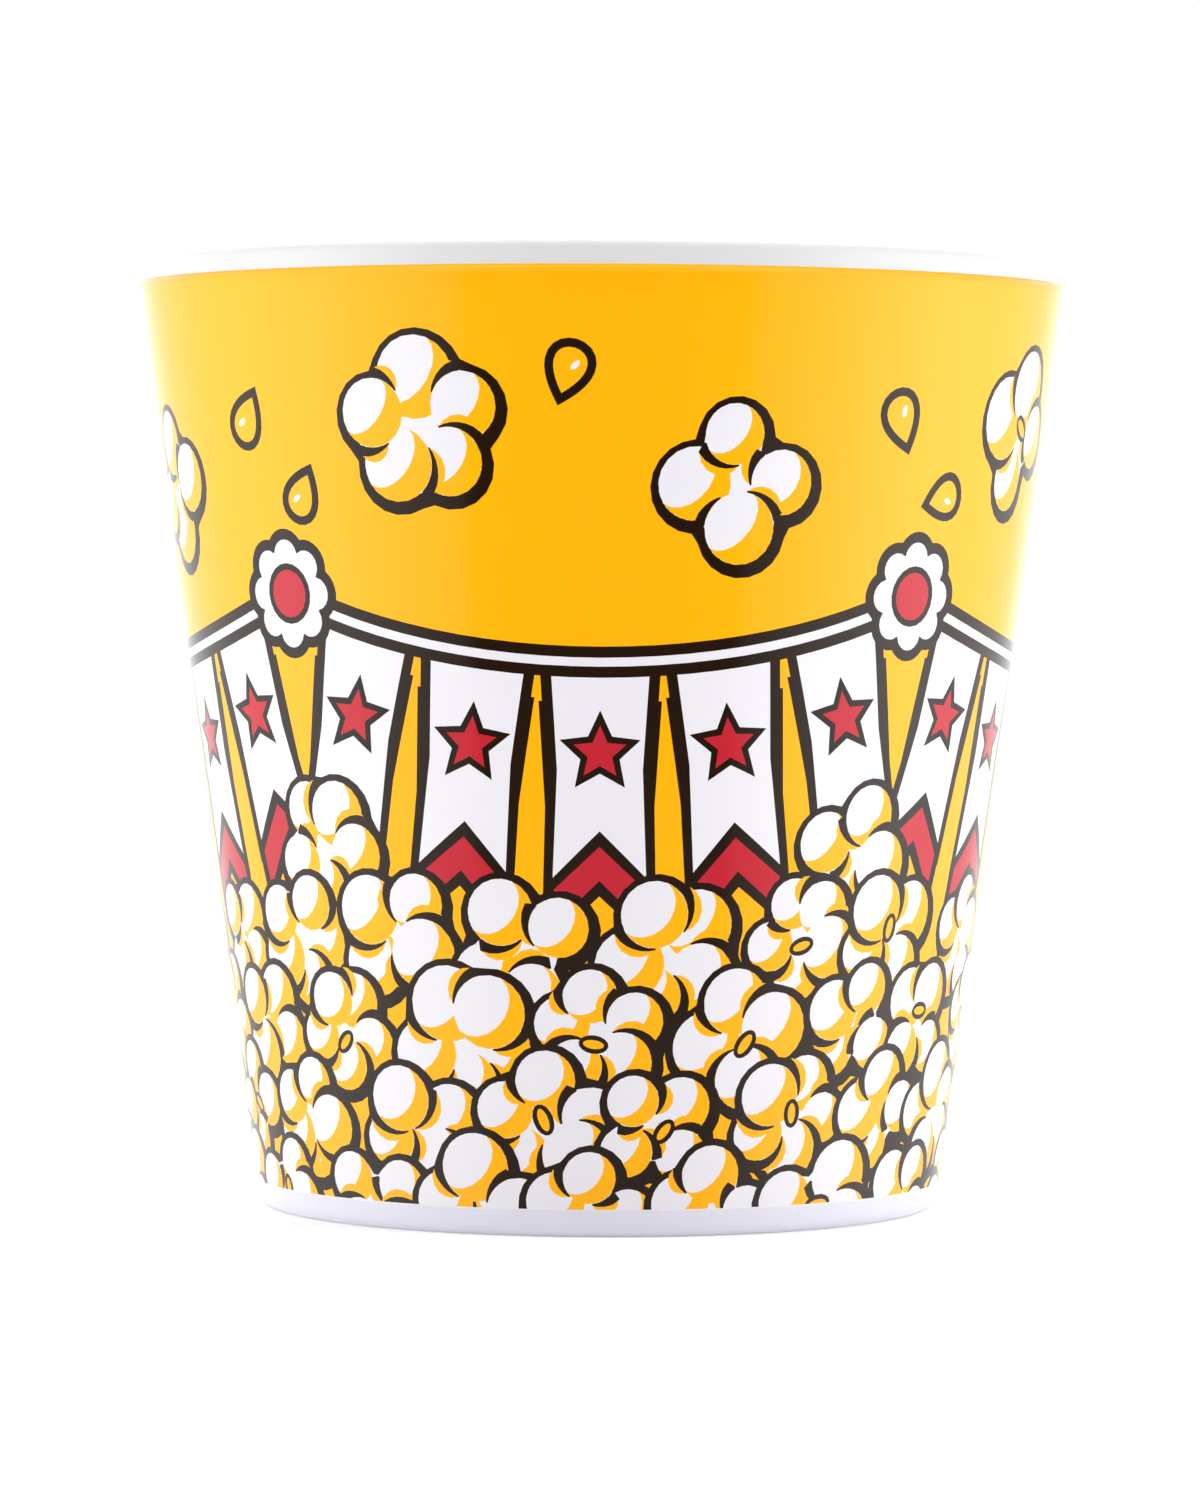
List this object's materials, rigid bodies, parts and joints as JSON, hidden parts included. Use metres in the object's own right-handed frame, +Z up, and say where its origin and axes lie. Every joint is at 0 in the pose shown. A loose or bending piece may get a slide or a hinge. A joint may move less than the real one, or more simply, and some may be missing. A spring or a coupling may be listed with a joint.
{
  "type": "popcorn bucket",
  "caption": "Round, tapered plastic popcorn bucket with a rounded lip, a flat foot ring and a bright moulded-in print on its wall.",
  "frame": {"origin": "centre of the flat face of the foot ring, where the bucket's upright axis meets the surface that it stands on", "axes": "+Z up along the bucket's axis, from the foot ring to the mouth; -Y towards the viewer in the picture, +X to the viewer's right"},
  "size_m": [0.18, 0.18, 0.18],
  "materials": {
    "moulded_white": "glossy moulded white polypropylene",
    "printed_wall": "glossy printed film moulded into the wall: a yellow ground with white, gold, red and dark brown shapes"
  },
  "bodies": {
    "root": {"bucket": "moulded_white"}
  },
  "joints": []
}
